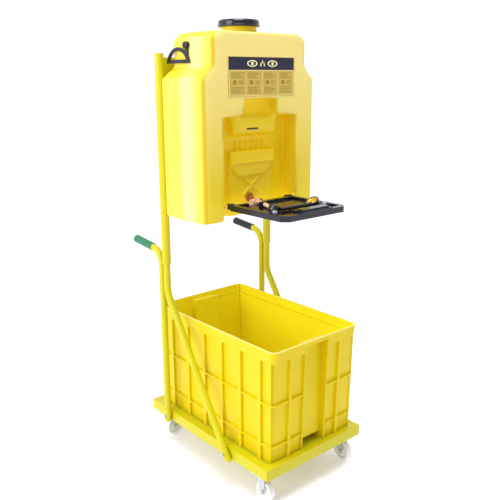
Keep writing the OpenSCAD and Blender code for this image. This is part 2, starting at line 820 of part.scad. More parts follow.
module drain_plug() color("black") {
    translate([drain_x, drain_y, tank_z - 8]) cylinder(h = 8, r = drain_r + 5);
    translate([drain_x, drain_y, tank_z - 1]) cylinder(h = tank_wall + 5, r = drain_r - hair);
}

module cap_gasket() color("dimgray") translate([0, cap_y, neck_top]) difference() {
    cylinder(h = gasket_t, r = neck_r - 1);
    translate([0, 0, -1]) cylinder(h = gasket_t + 2, r = fill_r + 3);
}

module cap() color("black") translate([0, cap_y, cap_z]) difference() {
    union() {
        cylinder(h = cap_h - 5, r = cap_r);
        translate([0, 0, cap_h - 5]) cylinder(h = 5, r1 = cap_r, r2 = cap_r - 5, $fn = 96);
    }
    translate([0, 0, -1]) cylinder(h = neck_top + gasket_t - cap_z + 1, r = cap_bore_r);
}

// ---------- Carry rings ----------

// Outline of the ring in Y and Z from the stud, drawn in by inset: a level bar below and
// one round arch above it.
module ring_outline(inset) {
    arch_r = (ring_l * ring_l / 4 + ring_h * ring_h) / (2 * ring_h);
    intersection() {
        translate([ring_mid_y, ring_low_z + ring_h - arch_r]) circle(r = arch_r - inset, $fn = 96);
        translate([ring_mid_y - ring_l, ring_low_z + inset]) square([2 * ring_l, ring_h]);
    }
}

module ring_side() translate([-ring_x, stud_y, stud_z]) difference() {
    translate([-ring_t / 2, 0, 0]) rotate([90, 0, 90]) linear_extrude(ring_t) union() {
        difference() {
            ring_outline(0);
            ring_outline(ring_bar);
        }
        circle(r = stud_r);
        translate([-ring_bar / 2, ring_low_z + ring_h / 2]) square([ring_bar, -ring_low_z - ring_h / 2]);
    }
    bar_x([-ring_bar, 0, 0], 2 * (stud_neck_r + fit), 2 * ring_bar);
}

module ring_left() color("black") ring_side();
module ring_right() color("black") mirror([1, 0, 0]) ring_side();

module ring_clip_side() translate([-ring_x, stud_y + clip_back, stud_z - clip_h])
    difference() {
        cylinder(h = 2 * clip_h, d = clip_d);
        translate([-ring_bar, -clip_back, clip_h]) rotate([90, 0, 90])
            linear_extrude(2 * ring_bar) ring_outline(0);
    }

module ring_clip_left() color("silver") ring_clip_side();
module ring_clip_right() color("silver") mirror([1, 0, 0]) ring_clip_side();

// ---------- Spray tray ----------

module tray_outline(inset) {
    half = tray_w / 2 - inset;
    front = tray_front + inset;
    back = tank_front - tray_gap - inset;
    cut = corner_cut - inset / 2;
    polygon([[-half, back], [-half, front + cut], [cut - half, front],
        [half - cut, front], [half, front + cut], [half, back]]);
}

module tray() color("#202028") difference() {
    union() {
        translate([0, 0, tray_z]) linear_extrude(tray_t) tray_outline(0);
        block([-lip_w / 2, tray_front, tray_top - 1], [lip_w / 2, tray_front + lip_l, tray_top + lip_h / 2]);
        block([-lip_w / 2 + 8, tray_front + 8, tray_top - 1],
            [lip_w / 2 - 8, tray_front + lip_l - 8, tray_top + lip_h]);
        both_sides() {
            bar_x([-tray_w / 2, hinge_y, hinge_z], 2 * lug_r, lug_w);
            block([-tray_w / 2, tank_front - tray_gap - 1, tray_z + 4],
                [-tray_w / 2 + lug_w, hinge_y, hinge_z + lug_r]);
        }
    }
    difference() {
        translate([0, 0, pan_z]) linear_extrude(pan_depth + 1) tray_outline(pan_margin);
        block([-lip_w / 2, tray_front, tray_z], [lip_w / 2, tray_front + lip_l, tray_top + 20]);
    }
    block([-78, tank_front - pan_margin - 6, pan_z - 2], [-18, tank_front + 1, tray_top + 1]);
    both_sides() bar_x([-tray_w / 2 - 1, hinge_y, hinge_z], pin_d + 2 * fit, lug_w + 2);
}

module swivel_pipe() color("pink") difference() {
    union() {
        bar_x([collar_x - collar_w, hinge_y, hinge_z], 2 * barrel_r, collar_w);
        bar_x([collar_x - 0.5, hinge_y, hinge_z], pipe_d, barrel_w - 8);
        bar([collar_x - collar_w / 2, hinge_y, hinge_z], pipe_turn, pipe_d);
        translate(pipe_turn - [0, 0, elbow_d / 2]) cylinder(h = elbow_d, d = elbow_d);
        bar(pipe_turn, pipe_end, pipe_d);
    }
    head_space(-1);
}

module cross_pipe() color("#303038") difference() {
    bar_x([-head_x, cross_y, cross_z], pipe_d, head_spread);
    head_space(-1);
    head_space(1);
}

module pipe_clip() color("black") {
    middle = pipe_turn + clip_at * (pipe_end - pipe_turn);
    difference() {
        block([middle.x - 16, middle.y - 7, pan_z], [middle.x + 16, middle.y + 7, middle.z + pipe_r + 2.5]);
        bar(pipe_turn, pipe_end, pipe_d + 2 * hair);
    }
}

// The solid outside of a spray head, which the pipes stop at.
module head_space(s) {
    translate([s * head_x, head_y, pan_z]) cylinder(h = head_base_h, d = head_d + 4 + 2 * hair);
    head_form(s, head_d + 2 * hair);
}

module head_form(s, d) intersection() {
    translate([s * head_x, head_y, pan_z]) rotate([0, -s * head_tilt, 0])
        translate([0, 0, -20]) cylinder(h = 20 + head_top - pan_z - 12, d = d);
    block([-tray_w / 2, tray_front, pan_z], [tray_w / 2, tank_front, head_top]);
}

module head_cup(s, d, floor_h) translate([s * head_x, head_y, pan_z])
    rotate([0, -s * head_tilt, 0]) translate([0, 0, floor_h]) cylinder(h = 60, d = d);

module head_shell(s) color("black") difference() {
    union() {
        translate([s * head_x, head_y, pan_z]) cylinder(h = head_base_h, d = head_d + 4);
        head_form(s, head_d);
    }
    head_cup(s, head_d - 2 * head_wall, 13);
}

module head_shell_left() head_shell(-1);
module head_shell_right() head_shell(1);

module spray_insert(s) color("khaki") difference() {
    intersection() {
        head_form(s, head_d - 2 * head_wall - 2 * insert_gap);
        head_cup(s, head_d, 13);
    }
    head_cup(s, head_d - 2 * head_wall - 8, 17);
}

module spray_insert_left() spray_insert(-1);
module spray_insert_right() spray_insert(1);

module side_plugs() color("lightgray") both_sides()
    translate([-head_x - plug_out, head_y - plug_out - 6, pan_z]) cylinder(h = plug_h, r = plug_r);

// ---------- Assembly ----------

// Moves a piece from the deck's middle to the frame's origin.
module placed() {
    translate([0, -origin_y, 0]) children();
}

placed() deck_frame();
placed() deck_sheet();
placed() deck_crossbars();
placed() corner_gussets();
placed() caster_plates();
placed() caster_bolts();
placed() fork(CASTERS[0]);  // fork_fl
placed() fork(CASTERS[1]);  // fork_fr
placed() fork(CASTERS[2]);  // fork_bl
placed() fork(CASTERS[3]);  // fork_br
placed() axle(CASTERS[0]);  // axle_fl
placed() axle(CASTERS[1]);  // axle_fr
placed() axle(CASTERS[2]);  // axle_bl
placed() axle(CASTERS[3]);  // axle_br
placed() wheel(CASTERS[0]);  // wheel_fl
placed() wheel(CASTERS[1]);  // wheel_fr
placed() wheel(CASTERS[2]);  // wheel_bl
placed() wheel(CASTERS[3]);  // wheel_br
placed() brace_tube_left();
placed() brace_tube_right();
placed() handle_tube_left();
placed() handle_tube_right();
placed() post_left();
placed() post_right();
placed() post_caps();
placed() weld_tabs();
placed() foot_bolts();
placed() grip_left();
placed() grip_right();
placed() hanger_plate();
placed() lower_crossbar();
placed() crate();
placed() tank_shell();
placed() tank_hook();
placed() hook_screws();
placed() label_plate();
placed() ring_studs();
placed() outlet_fitting();
placed() hinge_pins();
placed() drain_plug();
placed() cap_gasket();
placed() cap();
placed() ring_left();
placed() ring_right();
placed() ring_clip_left();
placed() ring_clip_right();
placed() tray();
placed() swivel_pipe();
placed() cross_pipe();
placed() pipe_clip();
placed() head_shell_left();
placed() head_shell_right();
placed() spray_insert_left();
placed() spray_insert_right();
placed() side_plugs();
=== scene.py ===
"""Looks for a portable eyewash station on a trolley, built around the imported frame.

Lengths in the modelling calls are millimetres; MM turns them into metres.
"""

import json
import math

import bpy
from mathutils import Matrix, Vector


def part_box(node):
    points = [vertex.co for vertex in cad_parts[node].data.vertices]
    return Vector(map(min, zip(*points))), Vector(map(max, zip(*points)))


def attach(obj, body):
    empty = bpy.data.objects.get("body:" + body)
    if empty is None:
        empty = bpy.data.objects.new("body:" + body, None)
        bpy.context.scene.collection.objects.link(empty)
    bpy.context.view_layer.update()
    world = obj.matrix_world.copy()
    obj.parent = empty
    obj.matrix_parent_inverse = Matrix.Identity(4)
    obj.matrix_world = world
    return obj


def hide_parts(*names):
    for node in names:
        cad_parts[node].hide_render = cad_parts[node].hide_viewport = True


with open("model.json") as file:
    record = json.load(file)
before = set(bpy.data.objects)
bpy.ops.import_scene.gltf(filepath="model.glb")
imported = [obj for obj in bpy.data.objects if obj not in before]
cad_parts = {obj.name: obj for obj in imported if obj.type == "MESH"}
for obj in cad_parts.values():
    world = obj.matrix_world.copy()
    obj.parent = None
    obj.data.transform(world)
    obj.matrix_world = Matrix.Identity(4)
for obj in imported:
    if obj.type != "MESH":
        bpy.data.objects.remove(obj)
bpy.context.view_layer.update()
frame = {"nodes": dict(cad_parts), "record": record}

MM = 0.001
nodes = frame["nodes"]
home = {n: b for b, held in frame["record"]["behaviour"]["bodies"].items() for n in held}
slot_of = {part["node"]: part["material_slot"] for part in frame["record"]["subparts"]}


# ---------- Camera ----------

camera = bpy.data.objects.new("camera", bpy.data.cameras.new("camera"))
bpy.context.scene.collection.objects.link(camera)
bpy.context.scene.camera = camera
camera.data.lens = 47.5
camera.data.sensor_width = 36
camera.data.clip_end = 60
yaw, pitch, roll = math.radians(40.73), math.radians(14.58), math.radians(-0.31)
ahead = Vector((math.sin(yaw) * math.cos(pitch), math.cos(yaw) * math.cos(pitch), -math.sin(pitch)))
right = Vector((math.cos(yaw), -math.sin(yaw), 0))
upward = right.cross(ahead)
camera.matrix_world = Matrix.Translation((-1.554, -1.8218, 1.428)) @ Matrix((
    math.cos(roll) * right + math.sin(roll) * upward,
    math.cos(roll) * upward - math.sin(roll) * right,
    -ahead,
)).transposed().to_4x4()


# ---------- Materials ----------


def linear(code):
    """The linear colour, with alpha, of an sRGB hex code."""
    parts = [int(code[i : i + 2], 16) / 255 for i in (0, 2, 4)]
    return (*[c / 12.92 if c <= 0.04045 else ((c + 0.055) / 1.055) ** 2.4 for c in parts], 1)


def add(mat, kind, links=None, **settings):
    """Adds a node with its settings; links holds a value or another node's socket for each input."""
    made = mat.node_tree.nodes.new("ShaderNode" + kind)
    for key, value in settings.items():
        setattr(made, key, value)
    for socket, source in (links or {}).items():
        if isinstance(source, bpy.types.NodeSocket):
            mat.node_tree.links.new(source, made.inputs[socket])
        else:
            made.inputs[socket].default_value = source
    return made


def surface(name, low, high, patch_mm, rough, grain_mm, relief_mm, stretch=(1, 1, 1), **sockets):
    """A material whose tone drifts from low to high over patches and whose skin has a fine grain.

    rough is the least and most roughness.
    """
    mat = bpy.data.materials.new(name)
    mat.use_nodes = True
    shader = mat.node_tree.nodes["Principled BSDF"]
    place = add(mat, "TexCoord").outputs["Object"]
    place = add(mat, "Mapping", {"Vector": place, "Scale": stretch}).outputs[0]
    drift = add(mat, "TexNoise", {"Vector": place, "Scale": 1 / (patch_mm * MM), "Detail": 3.0})
    tone = add(mat, "Mix", {0: drift.outputs[0], 6: linear(low), 7: linear(high)}, data_type="RGBA")
    grain = add(mat, "TexNoise", {"Vector": place, "Scale": 1 / (grain_mm * MM), "Detail": 2.0})
    gloss = add(mat, "MapRange", {0: drift.outputs[0], 1: 0.3, 2: 0.7, 3: rough[0], 4: rough[1]})
    skin = add(mat, "Bump", {"Strength": 0.6, "Distance": relief_mm * MM, "Height": grain.outputs[0]})
    link = mat.node_tree.links.new
    link(tone.outputs[2], shader.inputs["Base Color"])
    link(gloss.outputs[0], shader.inputs["Roughness"])
    link(skin.outputs[0], shader.inputs["Normal"])
    for socket, value in sockets.items():
        shader.inputs[socket.replace("_", " ")].default_value = value
    return mat


def socket_source(mat, name):
    """The socket that feeds one of the shader's inputs."""
    return mat.node_tree.nodes["Principled BSDF"].inputs[name].links[0].from_socket


def paint_where(mat, mask, code):
    """Lays another colour over a material where mask is one."""
    shader = mat.node_tree.nodes["Principled BSDF"]
    under = socket_source(mat, "Base Color")
    over = add(mat, "Mix", {0: mask, 6: under, 7: linear(code)}, data_type="RGBA")
    mat.node_tree.links.new(over.outputs[2], shader.inputs["Base Color"])


def ramp(mat, value, start, end):
    """Rises from 0 at start to 1 at end, or falls where end is the smaller."""
    limits = {0: value, 1: start, 2: end, 3: 0.0, 4: 1.0}
    return add(mat, "MapRange", limits, interpolation_type="SMOOTHSTEP").outputs[0]


def times(mat, a, b):
    return add(mat, "Math", {0: a, 1: b}, operation="MULTIPLY").outputs[0]


def size_of(mat, value):
    """The value without its sign."""
    return add(mat, "Math", {0: value}, operation="ABSOLUTE").outputs[0]


def split(mat, coordinate):
    """The X, Y and Z of one of the material's texture coordinates."""
    vector = add(mat, "TexCoord").outputs[coordinate]
    return add(mat, "SeparateXYZ", {0: vector}).outputs


# Polyester powder coat: even and semi-gloss, with an orange peel of about 2 mm
powder_coat = surface("powder_coat_yellow", "C6BE0C", "D2CA14", 60, (0.3, 0.42), 2.2, 0.06, IOR=1.5,
    Specular_IOR_Level=0.35)
deck_coat = surface("powder_coat_deck", "B0AE0C", "BCBA14", 60, (0.38, 0.55), 2.2, 0.08, IOR=1.5,
    Specular_IOR_Level=0.35)
# Bright zinc plate on pressed steel: crystalline patches of about 4 mm
zinc = surface("zinc_plate", "B9BDC2", "D5D8DB", 4, (0.25, 0.42), 0.8, 0.03, Metallic=1.0)
# Moulded nylon 6: milky white, light passes a little way in
nylon = surface("nylon_white", "E4E6E4", "F3F4F2", 15, (0.35, 0.5), 1.2, 0.03, IOR=1.53,
    Subsurface_Weight=0.15, Subsurface_Scale=0.004)
# Injection-moulded polypropylene: bright and satin; the light that glows through the thin wall is painted onto the
# inner faces further down
polypropylene = surface("polypropylene_yellow", "DEC606", "E6D00E", 90, (0.3, 0.42), 1.5, 0.03, IOR=1.49,
    Specular_IOR_Level=0.25)
# Blow-moulded polyethylene: waxy and softly matt, with the faint dimples of the mould
polyethylene = surface("polyethylene_yellow", "E4CB24", "EAD22E", 70, (0.36, 0.48), 3.5, 0.05, IOR=1.51,
    Subsurface_Weight=0.15, Subsurface_Scale=0.006, Specular_IOR_Level=0.3)
# Moulded ABS: near-black with a blue cast and a glossy skin
abs_black = surface("abs_black", "0E0F1B", "171829", 30, (0.12, 0.22), 1.6, 0.03, IOR=1.54)
# Soft PVC dip: satin skin with a fine grain
vinyl_green = surface("vinyl_green", "2C7A57", "378A66", 12, (0.4, 0.55), 1.0, 0.08, IOR=1.53)
vinyl_navy = surface("vinyl_navy", "15162C", "1E203A", 12, (0.4, 0.55), 1.0, 0.08, IOR=1.53)
# Nitrile rubber: dull and dark
rubber = surface("nitrile_rubber", "232323", "2E2E2E", 8, (0.6, 0.75), 0.8, 0.05, IOR=1.52)
# Moulded acetal fitting, reddish brown
acetal_brown = surface("acetal_brown", "9A5B26", "B4723A", 9, (0.3, 0.42), 1.0, 0.04, IOR=1.48)
# Extruded PVC pipe, cream with a pink cast
pvc_cream = surface("pvc_cream", "E2B9A2", "F0CDB8", 14, (0.18, 0.3), 1.2, 0.02, IOR=1.53)
# Moulded cup with a golden, slightly metallic lacquer
lacquer_gold = surface("lacquer_gold", "C79A2A", "E2B944", 7, (0.2, 0.32), 0.9, 0.02, IOR=1.5, Metallic=0.35)
# Light grey moulded polystyrene
styrene_grey = surface("styrene_grey", "8D939F", "A4AAB5", 10, (0.18, 0.3), 1.0, 0.02, IOR=1.59)
# Printed polyester film: flat inks under a gloss film
film_khaki = surface("film_khaki", "C2A63C", "CDB24A", 25, (0.26, 0.36), 1.0, 0.01, IOR=1.57)
ink_navy = surface("ink_navy", "10102E", "17173A", 20, (0.2, 0.3), 1.0, 0.01, IOR=1.57)
ink_pale = surface("ink_pale", "EFE6A0", "F6EFB4", 20, (0.28, 0.38), 1.0, 0.01, IOR=1.57)
ink_olive = surface("ink_olive", "8A7422", "9A8430", 6, (0.28, 0.38), 1.0, 0.01, IOR=1.57)

FINISHES = {
    "frame_paint": powder_coat, "deck_paint": deck_coat, "zinc": zinc, "wheel_nylon": nylon,
    "crate_plastic": polypropylene, "tank_plastic": polyethylene, "black_plastic": abs_black,
    "label_print": film_khaki, "green_grip": vinyl_green, "dark_grip": vinyl_navy,
    "gasket_rubber": rubber, "outlet_brown": acetal_brown, "pipe_cream": pvc_cream,
    "cup_gold": lacquer_gold, "plug_grey": styrene_grey,
}

tank_low, tank_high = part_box("tank_shell")
tank_front = tank_low.y
PARTING_LINE = 0.1203  # how far behind the tank's front its mould parts


def behind_front(start, end):
    """Rises from 0 to 1 between two depths behind the tank's front, in metres."""
    return ramp(polyethylene, tank_place[1], tank_front + start, tank_front + end)


tank_place = split(polyethylene, "Object")
from_middle = size_of(polyethylene, tank_place[0])

# Painted light on the tank's skin: inside the recess a deeper, saturated yellow is painted as the shade and the
# light bouncing between its walls, and the upper front gets a pale painted highlight for the glare on it
within = times(polyethylene, ramp(polyethylene, from_middle, 0.177, 0.171),
    ramp(polyethylene, tank_place[2], 1.366, 1.358))
within = times(polyethylene, within, behind_front(0.095, 0.085))
recess_shade = times(polyethylene, within, behind_front(0.006, 0.07))
paint_where(polyethylene, times(polyethylene, recess_shade, 0.9), "FFDC00")
# Painted highlight: the pale glare on the tank's upper front
front_glare = times(polyethylene, behind_front(0.012, 0.002), ramp(polyethylene, tank_place[2], 1.0, 1.5))
paint_where(polyethylene, times(polyethylene, front_glare, 0.9), "EEDD88")
# The sides are painted a brighter lemon, where the light falls on them, and palest ahead of the parting line, where
# a pale highlight is painted
facing = split(polyethylene, "Normal")
sideways = size_of(polyethylene, facing[0])
side = times(polyethylene, ramp(polyethylene, from_middle, 0.19, 0.2), ramp(polyethylene, sideways, 0.6, 0.9))
paint_where(polyethylene, side, "F8E64E")
# Painted highlight: a pale band on each side ahead of the parting line
side_highlight = times(polyethylene, side, behind_front(0.126, 0.1))
side_highlight = times(polyethylene, side_highlight, behind_front(0.02, 0.075))
paint_where(polyethylene, times(polyethylene, side_highlight, 0.55), "FFF6B4")
# The upright front corners are painted a deeper yellow: painted shade where the rounded corners reflect nothing
# bright
corner_shade = times(polyethylene, ramp(polyethylene, sideways, 0.2, 0.5), ramp(polyethylene, facing[1], -0.2, -0.45))
corner_shade = times(polyethylene, corner_shade, ramp(polyethylene, from_middle, 0.18, 0.2))
paint_where(polyethylene, times(polyethylene, corner_shade, 0.85), "CEB004")
# Where the two halves of the mould met, a fine raised line runs up each side; here it is only painted, as a darker
# line with no relief
off_line = add(polyethylene, "Math", {0: tank_place[1], 1: tank_front + PARTING_LINE}, operation="SUBTRACT")
mould_line = ramp(polyethylene, size_of(polyethylene, off_line.outputs[0]), 0.0016, 0.0004)
mould_line = times(polyethylene, mould_line, ramp(polyethylene, from_middle, 0.2, 0.205))
paint_where(polyethylene, times(polyethylene, mould_line, 0.6), "CFAE1C")

# The crate's inner faces are painted brighter, as painted light for the light that shines through its thin walls,
# and the top of its rim gets a pale painted highlight
crate_low, crate_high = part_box("crate")
inner_painted_light = add(polypropylene, "Attribute", attribute_name="inside").outputs["Fac"]
paint_where(polypropylene, inner_painted_light, "FFF020")
height = split(polypropylene, "Object")[2]
# Painted highlight: the top of the rim is painted paler, where the light from above falls on it
rim_highlight = ramp(polypropylene, height, crate_high.z - 0.004, crate_high.z - 0.0005)
paint_where(polypropylene, times(polypropylene, rim_highlight, 0.7), "FFE88E")

for name, cad_node in nodes.items():
    cad_node.data.materials.clear()
    cad_node.data.materials.append(FINISHES[slot_of[name]])


# ---------- Modelling helpers ----------


def pick(*objects):
    """Selects just these objects; the first is the active one."""
    bpy.ops.object.select_all(action="DESELECT")
    for o in objects:
        o.select_set(True)
    bpy.context.view_layer.objects.active = objects[0]
    return objects[0]


def edit(piece):
    """Opens a piece's mesh with all of it selected."""
    pick(piece)
    bpy.ops.object.mode_set(mode="EDIT")
    bpy.ops.mesh.select_all(action="SELECT")


def close():
    bpy.ops.object.mode_set(mode="OBJECT")


def finish_with(piece, kind, **settings):
    """Adds a modifier and applies it."""
    pick(piece)
    made = piece.modifiers.new(kind.lower(), kind)
    for key, value in settings.items():
        setattr(made, key, value)
    bpy.ops.object.modifier_apply(modifier=made.name)


def freeze(piece):
    """Puts a piece's place, turn and size into its mesh."""
    pick(piece)
    bpy.ops.object.transform_apply(location=True, rotation=True, scale=True)


def smooth(piece, degrees=35):
    pick(piece)
    bpy.ops.object.shade_smooth_by_angle(angle=math.radians(degrees))


def joined(name, pieces):
    pick(*pieces)
    if len(pieces) > 1:
        bpy.ops.object.join()
    pieces[0].name = name
    return pieces[0]


def merged_copy(name, *sources):
    """One closed mesh made from copies of CAD nodes."""
    copies = []
    for source in sources:
        twin = bpy.data.objects.new(name, nodes[source].data.copy())
        bpy.context.scene.collection.objects.link(twin)
        copies.append(twin)
    piece = joined(name, copies)
    pick(piece)
    bpy.ops.mesh.customdata_custom_splitnormals_clear()
    edit(piece)
    bpy.ops.mesh.remove_doubles(threshold=0.01 * MM)
    close()
    return piece


def eased(name, width, *sources, steps=2, sharper_than=40):
    """A copy of CAD nodes with every edge sharper than an angle rounded off."""
    piece = merged_copy(name, *sources)
    edit(piece)
    bpy.ops.mesh.dissolve_limited(angle_limit=math.radians(0.6))
    close()
    finish_with(piece, "BEVEL", width=width * MM, segments=steps, limit_method="ANGLE",
        angle_limit=math.radians(sharper_than), use_clamp_overlap=True)
    smooth(piece, 50)
    finish_with(piece, "WEIGHTED_NORMAL", keep_sharp=True)
    return piece


def turned(name, profile, around=48):
    """A turned shape about Z: a ring is drawn out from one (radius, height) to the next.

    A radius of 0.02 makes a pole.
    """
    bpy.ops.object.select_all(action="DESELECT")
    radius, height = profile[0]
    bpy.ops.mesh.primitive_circle_add(vertices=around, radius=radius * MM, location=(0, 0, height * MM))
    piece = bpy.context.object
    piece.name = name
    edit(piece)
    for new_radius, new_height in profile[1:]:
        rise = (0, 0, (new_height - height) * MM)
        bpy.ops.mesh.extrude_region_move(TRANSFORM_OT_translate={"value": rise})
        grow = new_radius / radius
        bpy.ops.transform.resize(value=(grow, grow, 1), center_override=(0, 0, new_height * MM))
        radius, height = new_radius, new_height
    bpy.ops.mesh.select_all(action="SELECT")
    bpy.ops.mesh.remove_doubles(threshold=0.05 * MM)
    bpy.ops.mesh.normals_make_consistent(inside=False)
    close()
    freeze(piece)
    smooth(piece)
    return piece


def set_at(piece, at, along=(0, 0, 1)):
    """Moves a turned shape's Z axis to run along a direction from a point, given in metres."""
    piece.rotation_mode = "QUATERNION"
    piece.rotation_quaternion = Vector(along).to_track_quat("Z", "Y")
    piece.location = at
    freeze(piece)
    return piece


def block(name, low, high, width=0.0, steps=2):
    """A box between two corners in metres, its edges rounded by a width in mm."""
    low, high = Vector(low), Vector(high)
    bpy.ops.object.select_all(action="DESELECT")
    bpy.ops.mesh.primitive_cube_add(size=1, location=(low + high) / 2)
    piece = bpy.context.object
    piece.name = name
    piece.scale = high - low
    freeze(piece)
    if width:
        edit(piece)
        bpy.ops.mesh.bevel(offset=width * MM, segments=steps, affect="EDGES")
        close()
    smooth(piece, 50)
    return piece


def rod(name, points, diameter, around=6):
    """A round bar through points in metres, along one smooth line."""
    line = bpy.data.curves.new(name, "CURVE")
    line.dimensions = "3D"
    line.bevel_depth = diameter / 2 * MM
    line.bevel_resolution = around
    line.use_fill_caps = True
    strand = line.splines.new("NURBS")
    strand.points.add(len(points) - 1)
    for spot, point in zip(strand.points, points):
        spot.co = (*point, 1)
    strand.use_endpoint_u = True
    strand.order_u = 4
    strand.resolution_u = 8
    piece = bpy.data.objects.new(name, line)
    bpy.context.scene.collection.objects.link(piece)
    pick(piece)
    bpy.ops.object.convert(target="MESH")
    smooth(piece, 60)
    return piece


def hang(piece, body, slot, finish=None):
    """Puts a finished piece on its body, with the finish of a slot."""
    piece.data.materials.clear()
    piece.data.materials.append(finish or FINISHES[slot])
    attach(piece, body)
    return piece


def stand_for(piece, *names):
    """Puts a finished piece in the place of CAD nodes, on their body and in their finish."""
    hang(piece, home[names[0]], slot_of[names[0]])
    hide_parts(*names)
    return piece


def choose(piece, wanted):
    """Opens a piece's mesh with just the vertices selected whose place a test picks."""
    edit(piece)
    bpy.ops.mesh.select_mode(type="VERT")
    bpy.ops.mesh.select_all(action="DESELECT")
    close()
    for v in piece.data.vertices:
        v.select = wanted(v.co)
    bpy.ops.object.mode_set(mode="EDIT")


def soften(piece, wanted, times_over):
    """Smooths the vertices whose place a test picks, as many times over as asked."""
    choose(piece, wanted)
    bpy.ops.mesh.vertices_smooth(factor=0.5, repeat=times_over)
    close()


def middle(node):
    low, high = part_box(node)
    return (low + high) / 2


# ---------- Trolley ----------

CORNERS = ("fl", "fr", "bl", "br")
# How far each piece's sharp edges are rounded, in mm
EDGE_WIDTHS = {
    "deck_frame": 1.6, "deck_sheet": 0.8, "deck_crossbars": 1.2, "corner_gussets": 0.8,
    "hanger_plate": 1.0, "weld_tabs": 1.2, "tank_hook": 0.8, "hook_screws": 0.8,
    "caster_plates": 0.8, "caster_bolts": 0.8, "foot_bolts": 1.0,
    **{"fork_" + corner: 0.7 for corner in CORNERS},
    **{"axle_" + corner: 0.6 for corner in CORNERS},
    "post_caps": 1.0, "outlet_fitting": 1.0, "drain_plug": 1.5, "pipe_clip": 1.2, "cap_gasket": 0.4,
}
for name, width in EDGE_WIDTHS.items():
    stand_for(eased(name + "_eased", width, name), name)

# Thin dark strips of painted shade stand for the open seams where the deck's rails meet at the corners
deck_low, deck_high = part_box("deck_frame")
seam_shade_strips = []
for x in (deck_low.x + 3 * MM, deck_high.x - 3 * MM):
    for y in (deck_low.y + 0.2 * MM, deck_high.y - 0.2 * MM):
        seam_shade_strips.append(block("seam", (x - 0.5 * MM, y - 0.22 * MM, deck_low.z + 1.2 * MM),
            (x + 0.5 * MM, y + 0.22 * MM, deck_high.z - 1.2 * MM), 0.1, 1))
hang(joined("deck_seam_shade", seam_shade_strips), "cart", "frame_paint", rubber)

# Wheels: a rounded tread, a dished web and a hub on each side
WHEEL = [(4.1, 13), (11.2, 13), (12, 12.2), (12.2, 8.6), (13.2, 8), (26.4, 8), (27.6, 8.8),
    (28.2, 11.4), (29.6, 12), (33.4, 12), (35.4, 11.2), (36.8, 9), (37.4, 5.5), (37.5, 0)]
tread = WHEEL + [(r, -w) for r, w in reversed(WHEEL[:-1])] + [WHEEL[0]]
for corner in CORNERS:
    wheel_low, wheel_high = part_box("wheel_" + corner)
    size = wheel_high - wheel_low
    axis = (1, 0, 0) if size.x < size.y else (0, 1, 0)
    wheel = turned("wheel_" + corner + "_turned", tread, 72)
    stand_for(set_at(wheel, middle("wheel_" + corner), axis), "wheel_" + corner)

# Grips: moulded sleeves with rings all along, a collar and a domed end
grip_turn = math.radians(84)
RING_PITCH = 4.7
ribs = [(13.2, -60), (14.6, -60), (15, -59), (15, -54.5), (14.4, -53.6)]
for i in range(22):
    z = -52 + i * RING_PITCH
    ribs += [(13.7, z), (13.7, z + 1.5), (14.5, z + 2.2), (14.5, z + 3.6)]
ribs += [(13.8, 52.5), (14.9, 53.2), (15, 55), (14.6, 57.6), (13, 59.3), (9, 60), (0.02, 60)]
for side in ("left", "right"):
    grip = turned("grip_" + side + "_ribbed", ribs, 40)
    set_at(grip, middle("grip_" + side), (0, math.sin(grip_turn), math.cos(grip_turn)))
    stand_for(grip, "grip_" + side)


# ---------- Crate ----------

crate = eased("crate_moulded", 1.3, "crate", steps=2, sharper_than=32)
crate_middle = (crate_low + crate_high) / 2
crate_half = (crate_high - crate_low) / 2
RIB_DEPTH = 14 * MM
MOSTLY = 0.8
inner_faces = crate.data.attributes.new("inside", "FLOAT", "FACE")
for polygon in crate.data.polygons:
    off, normal = polygon.center - crate_middle, polygon.normal
    long_wall = off.x * normal.x < 0 and abs(normal.x) > MOSTLY and abs(off.x) > MOSTLY * crate_half.x
    end_wall = off.y * normal.y < 0 and abs(normal.y) > MOSTLY and abs(off.x) < crate_half.x - RIB_DEPTH
    floor_face = normal.z > MOSTLY and -off.z > MOSTLY * crate_half.z
    inner_faces.data[polygon.index].value = 1.0 if long_wall or end_wall or floor_face else 0.0
stand_for(crate, "crate")


# ---------- Tank ----------

neck = middle("cap")
shell = merged_copy("tank_moulded", "tank_shell")
fillers = []
drain, outlet = middle("drain_plug"), middle("outlet_fitting")
# A floor low in the neck and stoppers in the small holes, so that the remesh sees one solid
for at, along, radius, length in (
    ((neck.x, neck.y, tank_high.z - 48 * MM), (0, 0, 1), 56, 8),
    ((drain.x, drain.y, tank_low.z + 2.5 * MM), (0, 0, 1), 16, 5),
    ((outlet.x, tank_front + 66 * MM, 1.010), (0, 1, 0), 10, 5),
):
    bpy.ops.object.select_all(action="DESELECT")
    bpy.ops.mesh.primitive_cylinder_add(vertices=48, radius=radius * MM, depth=length * MM)
    fillers.append(set_at(bpy.context.object, at, along))
# The step under the ledge, narrower at its foot, and the small ribs in the pocket
LEDGE_HALF = 102
step = block("step", (-LEDGE_HALF * MM, tank_front + 53 * MM, 1.092),
    (LEDGE_HALF * MM, tank_front + 66 * MM, 1.130))
for v in step.data.vertices:
    if v.co.z < 1.1:
        v.co.x *= 0.62
fillers.append(step)
for x in (-62, -38, -14, 14, 38, 62):
    fillers.append(block("rib", ((x - 4) * MM, tank_front + 64 * MM, 1.176),
        ((x + 4) * MM, tank_front + 80 * MM, 1.212)))
fillers.append(block("lip", (-LEDGE_HALF * MM, tank_front + 46.5 * MM, 1.135),
    (LEDGE_HALF * MM, tank_front + 56 * MM, 1.142)))
shell = joined("tank_moulded", [shell, *fillers])
finish_with(shell, "REMESH", mode="VOXEL", voxel_size=3 * MM)


def in_recess(v):
    return abs(v.x) < 0.182 and v.z < 1.372 and v.y < tank_front + 0.082 and v.z > 0.97


def on_hump(v):
    return abs(v.x) < 0.125 and 1.218 < v.z < 1.335 and v.y < tank_front + 0.075


